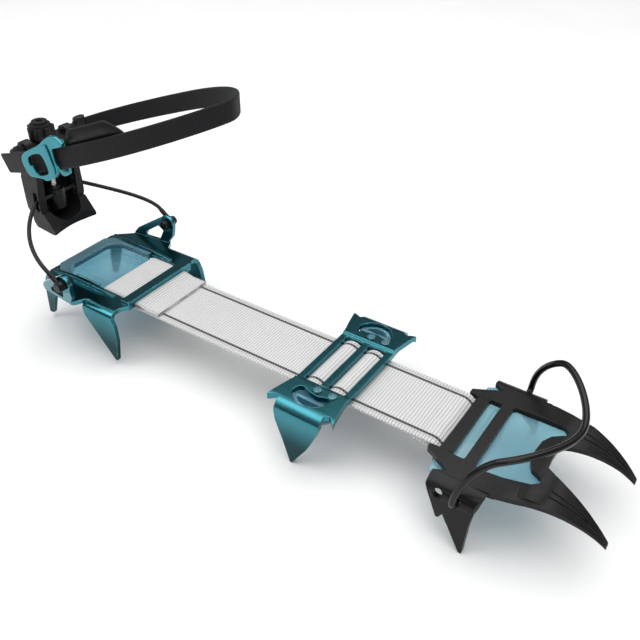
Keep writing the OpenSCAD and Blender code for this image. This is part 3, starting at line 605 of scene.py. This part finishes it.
# ---------- metalwork and mouldings from the CAD ----------
soften("front_frame", STEEL, 0.35)
soften("mid_frame", TEAL, 0.4)
soften("heel_frame", TEAL, 0.4)
soften("front_antiball_plate", ICE, 0.3)
soften("mid_antiball_plate", DEEP_ICE, 0.3)
soften("heel_antiball_plate", DEEP_ICE, 0.3)
soften("front_strap_rod", ROD, 0.3)
soften("strap_lock_bar", DARK, 0.3)
soften("cable_pivot_bolts", DARK, 0.4)
soften("cable_pivot_caps", DARK, 0.3)
soften("cable_eyes", DARK, 0.3)
soften("cable_carrier", DARK, 0.4)
soften("lever_body", BLACK, 0.6, segments=3)
soften("height_screw", ROD, 0.2)
soften("thumb_wheel", KNOB, 0.5, segments=3)
soften("screw_clip", ROD, 0.15)
soften("strap_anchor_pins", ROD, 0.2)

# ---------- linking strap ----------
ROD_WRAP = 1.55 + STRAP_T / 2         # radius of the strap's middle round the rod
MID_Z = -STRAP_T / 2                  # the strap's middle layer
LAP_Z = -STRAP_T * 1.5                # the loop's end, sewn under it
web = [at(FRONT - 14, 0, LAP_Z), at(FRONT - 7, 0, LAP_Z), at(FRONT - 2.2, 0, ROD_Z - ROD_WRAP)]
web += arc(ROD_X, ROD_Z, ROD_WRAP, -90, 90, 16)
web += [at(FRONT - 0.2, 0, ROD_Z + ROD_WRAP), at(FRONT - 4.2, 0, MID_Z), at(FLEX - 48, 0, MID_Z),
        at(HEEL + 12, 0, MID_Z)]
web = relax(resample(web, 0.0006), 6)
main = ribbon("linking_strap_web", web, WHITE_WEB, STRAP_W - 0.1, STRAP_T - 0.06)
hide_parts("linking_strap_front", "linking_strap_rear")
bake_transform(main)

FOLD_R = 1.2                          # inside radius of the fold
FOLD_TOP = 2 * FOLD_R + STRAP_T / 2   # its upper layer, in the heel tray
BAR_UNDER = 3.4 - STRAP_T / 2 - 0.1   # the strap's middle where it passes under the bar
TAIL_Z = 0.95                         # the free end, lying on the strap
tail = [at(FOLD + 3, 0, MID_Z)] + arc(FOLD, FOLD_R, FOLD_R + STRAP_T / 2, 270, 90, 16)
tail += [at(BAR - 5, 0, FOLD_TOP), at(BAR - 0.8, 0, BAR_UNDER), at(BAR + 7, 0, BAR_UNDER),
         at(BAR + 12.2, 0, TAIL_Z), at(HEEL + 47.3, 0, TAIL_Z)]
tail = relax(resample(tail, 0.0006), 8)
fold = ribbon("linking_strap_tail", tail, WHITE_BACK, STRAP_W, STRAP_T, u0=0.0004)
ride(fold, "heel", "white_webbing", "linking_strap_fold")
SEAM = 18.2                           # half the length of a row of stitches
rows = [(at(FRONT - d, -SEAM, 0.0), at(FRONT - d, SEAM, 0.0), Z) for d in (8.4, 12.6)]
ride(stitches("front_loop_stitches", rows, THREAD, 1.5, 0.32, 0.8), "strap", "white_webbing")

# The strap's humps in the middle frame's two slots
SLOT_X, HUMP_RUN, HUMP_FOOT, HUMP_RISE, HUMP_STEPS = 6.8, 11.2, -0.75, 3.3, 24
for label, x0 in (("rear", -SLOT_X), ("front", SLOT_X)):
    hump = []
    for i in range(HUMP_STEPS + 1):
        t = i / HUMP_STEPS
        height = HUMP_FOOT + HUMP_RISE * math.sin(math.pi * t) ** 0.8
        hump.append(at(x0 - HUMP_RUN / 2 + HUMP_RUN * t, 0, height))
    hump = relax(resample(hump, 0.0005), 5)
    piece = ribbon("strap_hump_" + label, hump, WHITE_WEB, 38.6, STRAP_T, u0=0.0003)
    ride(piece, "mid", "white_webbing")

# ---------- toe bail ----------
# One side from the hole in the flange up to the middle of the bow, from FRONT, then mirrored
HOLE_X, HOLE_Z, LEG_Y, TURN_R = 17.7, -5.4, 44.2, 2.4
WIRE_R = 1.62
hole = Vector((HOLE_X, LEG_Y, HOLE_Z))
knee = Vector((31, 36.8, 23.4))
leg = bezier([hole + Vector((0, 0, TURN_R)), hole + Vector((0.2, 0.2, 12)),
              knee - Vector((8, -2.7, 5.4)), knee], 22)
bow = bezier([knee, knee + Vector((6.5, -2.2, 3)), Vector((52.8, 14, 22.9)),
              Vector((52.8, 0, 22.5))], 30, 1)
turn = [hole + Vector((0, -TURN_R + TURN_R * math.sin(a), TURN_R - TURN_R * math.cos(a)))
        for a in (math.pi / 2 * i / 8 for i in range(8))]
half = [Vector((HOLE_X, 35.2, HOLE_Z)), Vector((HOLE_X, 38.5, HOLE_Z))] + turn + leg + bow
wire = half + [Vector((p.x, -p.y, p.z)) for p in half[-2::-1]]
wire = relax(resample([at(FRONT + p.x, p.y, p.z) for p in wire], 0.0009), 4)
ride(tube("toe_bail_wire", wire, WIRE, WIRE_R, 24), "bail", "black_steel", "toe_bail")

# ---------- heel cable ----------
# One side from the eye on the ear's axle up to the lever, from HEEL, then mirrored
CABLE_R, CABLE_ANGLE = 1.2, math.radians(38)
EYE_TAIL, CABLE_STRAIGHT = 6.2, 10    # where the cable leaves the eye, and where it starts to bend
away = Vector((-math.cos(CABLE_ANGLE), 0, math.sin(CABLE_ANGLE)))
eye = Vector((0, 43.4, EAR_Z))
end = Vector((LEVER - HEEL, LEVER_W / 2 + 0.4, LEVER_Z))
half = bezier([eye + away * CABLE_STRAIGHT, eye + away * 19 + Vector((0, 0.6, 0)),
               end + Vector((6, 19, -11.4)), end], 60)
half = [eye + away * EYE_TAIL] + half
cable = half + [Vector((p.x, -p.y, p.z)) for p in half[::-1]]
cable = resample([at(HEEL + p.x, p.y, p.z) for p in cable], 0.0008)
strands = tube("heel_cable_strands", cable, CABLE, CABLE_R, 28, lobes=7, depth=0.16, twist=90)
ride(strands, "cable", "black_cable", "heel_cable")


# ---------- ankle strap ----------
def loop_point(deg):
    """A point on the ankle loop's inner line; 0 degrees is at the lever and 180 at the far end."""
    t = math.radians(deg)
    c, s = math.cos(t), math.sin(t)
    reach = abs(s) ** (0.6 if c > 0 else 1.5)
    x = LOOP_A * (1 - c) - LOOP_BACK
    y = LOOP_B * (1 if s >= 0 else -1) * reach
    return Vector((LEVER + x, y, LOOP_Z + RISE * x))


def outward(deg):
    """The level direction out of the loop at an angle."""
    along = (loop_point(deg + 0.4) - loop_point(deg - 0.4)).normalized()
    return Vector((-along.y, along.x, 0)).normalized()


def loop_path(t0, t1, shift):
    """Band centre points from angle t0 to t1; shift(t) moves them outward, in millimetres."""
    count = int(abs(t1 - t0)) + 1
    angles = [t0 + (t1 - t0) * i / count for i in range(count + 1)]
    return [loop_point(t) + outward(t) * shift(t) for t in angles]


def strap_normal_side(path):
    """The band's width direction at each point: upright, square to the path."""
    dirs = tangents(path)
    return lambda i: (Z - dirs[i] * Z.dot(dirs[i])).normalized()


def ankle_band(name, path, slant=0.0):
    """Black webbing along a path in millimetres."""
    band = relax(resample([at(*p) for p in path], 0.0011), 3)
    return ribbon(name, band, BLACK_WEB, ANKLE_W, ANKLE_T, across=strap_normal_side(band),
                  columns=8, slant=slant)


def bell(t, centre, width):
    """1 at centre, falling to 0 on both sides."""
    return math.exp(-((t - centre) / width) ** 2)


def buckle_dip(t):
    """Outward shift of the long band, which dips in behind the buckle's bar and out again."""
    return ANKLE_T / 2 - 1.1 * bell(t, 277, 5) + 0.5 * bell(t, 283.5, 3.5)


KEEPER_START, BAND_END, STRAIGHT_TAIL = 16, 300, 17.4
path = loop_path(KEEPER_START, BAND_END, buckle_dip)
path += [path[-1] + (path[-1] - path[-2]).normalized() * STRAIGHT_TAIL]
ride(ankle_band("ankle_strap_web", path, slant=2.2), "ankle", "black_webbing", "ankle_strap")
path = loop_path(344, 289, lambda t: -0.6 - ANKLE_T / 2)
ride(ankle_band("ankle_strap_short_web", path), "ankle", "black_webbing", "ankle_strap_short")

# Sewn eyes of both webbing ends, round the anchor pins
EYE_Y, EYE_R, EYE_HALF_W, EYE_HALF_T, EYE_STEPS = 18.7, 2.1, 1.7, 0.75, 28
corners = ((-EYE_HALF_W, -EYE_HALF_T), (EYE_HALF_W, -EYE_HALF_T), (EYE_HALF_W, EYE_HALF_T),
           (-EYE_HALF_W, EYE_HALF_T))
for label, y0 in (("left", EYE_Y), ("right", -EYE_Y)):
    ring = arc(LEVER, PIN_Z, EYE_R, 0, 360, EYE_STEPS, y0)[:-1]
    rings, uvs = [], []
    for i in range(EYE_STEPS):
        a = 2 * math.pi * i / EYE_STEPS
        radial = Vector((math.cos(a), 0, math.sin(a)))
        section = []
        for w, d in corners:
            section.append(ring[i] + Y * (w / 1000) + radial * (d / 1000))
            uvs.append((a * EYE_R / 1000, w / 1000))
        rings.append(section)
    piece = sweep("ankle_eye_" + label, rings, uvs, BLACK_WEB, closed=True)
    ride(piece, "ankle", "black_webbing")

# ---------- buckle ----------
# Its outlines are in the plane of the band's near side: x along the crampon, y up
buckle_at = loop_point(281)
along_band = Matrix(((1, 0, 0, 0), (0, 1, 0, 0), (RISE, 0, 1, 0), (0, 0, 0, 1)))
stand_up = Matrix(((1, 0, 0, 0), (0, 0, 1, 0), (0, 1, 0, 0), (0, 0, 0, 1)))


def buckle_place(y):
    """Where a flat buckle part goes; y is its shift across the band, in millimetres."""
    return (Matrix.Translation(at(buckle_at.x, buckle_at.y + y, buckle_at.z))
            @ along_band @ stand_up)


hook = [(-8.4, 4.6), (-4.4, 6.8), (1.8, 7.8), (7.8, 9), (12.5, 11.2), (16.6, 12.2), (19.4, 11.5),
        (22.4, 9.3), (25, 6.2), (20.4, 5.8), (16, 5.8), (16.6, 1.3), (17.6, -2.8), (17.2, -6.2),
        (14, -8.6), (7.3, -9.6), (5.5, -8.2), (0.2, -7), (-4.5, -6.2), (-6.8, -3.2), (-8.4, 1)]
window = [(-4, 3.2), (0.6, 4.8), (7.7, 4.6), (11.1, -5.6), (6.9, -6.4), (1.4, -6), (-1.2, -0.2),
          (-2.5, -1.2)]
back_bar = [(9.7, -6.6), (9.7, 8), (16.4, 8.4), (17, -6.4), (17.4, -9.2), (13.2, -10.2), (10.4, -9)]
bridge = [(8, 6.2), (16.4, 6.2), (16.4, 8.4), (8, 8)]
slip_bar = [(9.4, 8.4), (13.4, 8.9), (16.6, -6.6), (12.2, -7)]
cast = casting("buckle_frame", [(hook, [window], 1.7, buckle_place(-3.55), 4),
                                (back_bar, [], 1.4, buckle_place(2.9), 3),
                                (bridge, [], 7.2, buckle_place(-0.4), 1)], BUCKLE)
ride(cast, "ankle", "teal_alloy", "strap_buckle")
slip = casting("buckle_slip_bar", [(slip_bar, [], 1.6, buckle_place(-4.3), 3)], BUCKLE)
ride(slip, "ankle", "teal_alloy")


# ---------- tab and keeper ----------
def loop_ring(t, section):
    """A section of (outward, up) offsets in millimetres, put on the loop at an angle."""
    centre, away = loop_point(t), outward(t)
    points = [(centre + away * s, w) for s, w in section]
    return [at(p.x, p.y, p.z + w) for p, w in points]


def tab_section(high, low=1.0, inside=-1.5, outside=-0.25, corner=0.35):
    """The tab's cut: a plate inside the band with bevelled top edges."""
    return [(outside, high - corner), (outside - corner, high), (inside + corner, high),
            (inside, high - corner), (inside, low), (outside, low)]


TAB_START, TAB_END, TAB_STEPS = 236.5, 264, 40
TAB_LOW, TAB_RISE = 2.2, 10.4         # the tab's top edge at its start, and its rise from there
rings, uvs = [], []
for i in range(TAB_STEPS + 1):
    t = TAB_START + (TAB_END - TAB_START) * i / TAB_STEPS
    slope = min(1.0, max(0.0, (t - TAB_START) / 8.5))
    close = min(1.0, max(0.0, (TAB_END - t) / 2.2))
    section = tab_section(TAB_LOW + TAB_RISE * min(slope ** 0.7, 0.35 + 0.65 * close))
    rings.append(loop_ring(t, section))
    uvs += [(i * 0.001, k * 0.001) for k in range(len(section))]
ride(sweep("strap_tab_plate", rings, uvs, TAB), "ankle", "black_plastic", "strap_tab")

KEEPER_ARC, KEEPER_STEPS, KEEPER_SIDES = 8, 10, 24
KEEPER_T, KEEPER_H = 2.1, ANKLE_W / 2 + 1.2    # half thickness and half height at its ends
rings, uvs = [], []
for i in range(KEEPER_STEPS + 1):
    t = KEEPER_START + KEEPER_ARC * i / KEEPER_STEPS
    lift = 0.75 * math.sin(math.pi * i / KEEPER_STEPS) ** 0.6
    section = []
    for k in range(KEEPER_SIDES):
        a = 2 * math.pi * k / KEEPER_SIDES
        cx, cz = math.cos(a), math.sin(a)
        sx = math.copysign(abs(cx) ** 0.35, cx) * (KEEPER_T + lift)
        sz = math.copysign(abs(cz) ** 0.35, cz) * (KEEPER_H + lift)
        section.append((ANKLE_T / 2 + sx, sz))
        uvs.append((i * 0.0005, k * 0.001))
    rings.append(loop_ring(t, section))
ride(sweep("strap_keeper_loop", rings, uvs, BLACK), "ankle", "black_plastic", "strap_keeper")

# ---------- floor, light and camera ----------
FLOOR_HALF = 4
floor_z = min(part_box(n)[0].z for n in nodes) - 0.0004
floor_mat = Mat("pale_floor", Roughness=0.9)
cloud = floor_mat.smooth(floor_mat.noise(6, 3), 0.3, 0.7)
floor_mat.put(floor_mat.bsdf, "Base Color",
              floor_mat.mix(cloud, (0.93, 0.93, 0.93), (0.96, 0.96, 0.96)))
corners = [(x, y, floor_z) for x, y in ((-FLOOR_HALF, -FLOOR_HALF), (FLOOR_HALF, -FLOOR_HALF),
                                        (FLOOR_HALF, FLOOR_HALF), (-FLOOR_HALF, FLOOR_HALF))]
add_mesh("studio_floor", corners, [(0, 1, 2, 3)], floor_mat.mat, smooth=False)

world = bpy.data.worlds.new("studio")
bpy.context.scene.world = world
world.use_nodes = True
tree = world.node_tree
background = tree.nodes["Background"]
coord = tree.nodes.new("ShaderNodeTexCoord")
split = tree.nodes.new("ShaderNodeSeparateXYZ")
ramp = tree.nodes.new("ShaderNodeValToRGB")
tree.links.new(coord.outputs["Generated"], split.inputs[0])
tree.links.new(split.outputs[2], ramp.inputs[0])
tree.links.new(ramp.outputs[0], background.inputs[0])
dark_below, white_above = ramp.color_ramp.elements
dark_below.position, dark_below.color = 0.0, (0.15, 0.16, 0.17, 1)
white_above.position, white_above.color = 0.9, (1.0, 1.0, 1.0, 1)
background.inputs["Strength"].default_value = 0.42


def area(name, place, target, size, power):
    """A soft rectangular lamp; places and size in metres, power in watts."""
    light = bpy.data.lights.new(name, "AREA")
    light.shape = "RECTANGLE"
    light.size, light.size_y = size
    light.energy = power
    obj = add_object(name, light)
    obj.location = place
    obj.rotation_euler = (Vector(target) - Vector(place)).to_track_quat("-Z", "Y").to_euler()


area("top_softbox", (-0.1, 0.1, 1.4), (-0.05, 0, 0), (2.3, 2.3), 30)
area("key_softbox", (-0.75, -0.55, 0.55), (-0.08, 0, 0.0), (0.5, 0.4), 1.6)
area("fill_softbox", (0.9, -0.5, 0.5), (0, 0, 0), (0.5, 0.5), 1.0)

# The camera looks against back, and its azimuth turns from the crampon's right side to its toe
AZIMUTH, ELEVATION = math.radians(34.17), math.radians(36.62)
CAMERA_AT = Vector((0.15121, -0.2457, 0.24182))
back = Vector((math.sin(AZIMUTH) * math.cos(ELEVATION), -math.cos(AZIMUTH) * math.cos(ELEVATION),
               math.sin(ELEVATION)))
right = Vector((math.cos(AZIMUTH), math.sin(AZIMUTH), 0))
up = back.cross(right)
lens = bpy.data.cameras.new("camera")
lens.sensor_width = 36
lens.lens = 42.5925
lens.clip_start = 0.01
camera = add_object("camera", lens)
camera.matrix_world = Matrix((right, up, back)).transposed().to_4x4()
camera.matrix_world.translation = CAMERA_AT
bpy.context.scene.camera = camera
bpy.context.scene.view_settings.view_transform = "Standard"
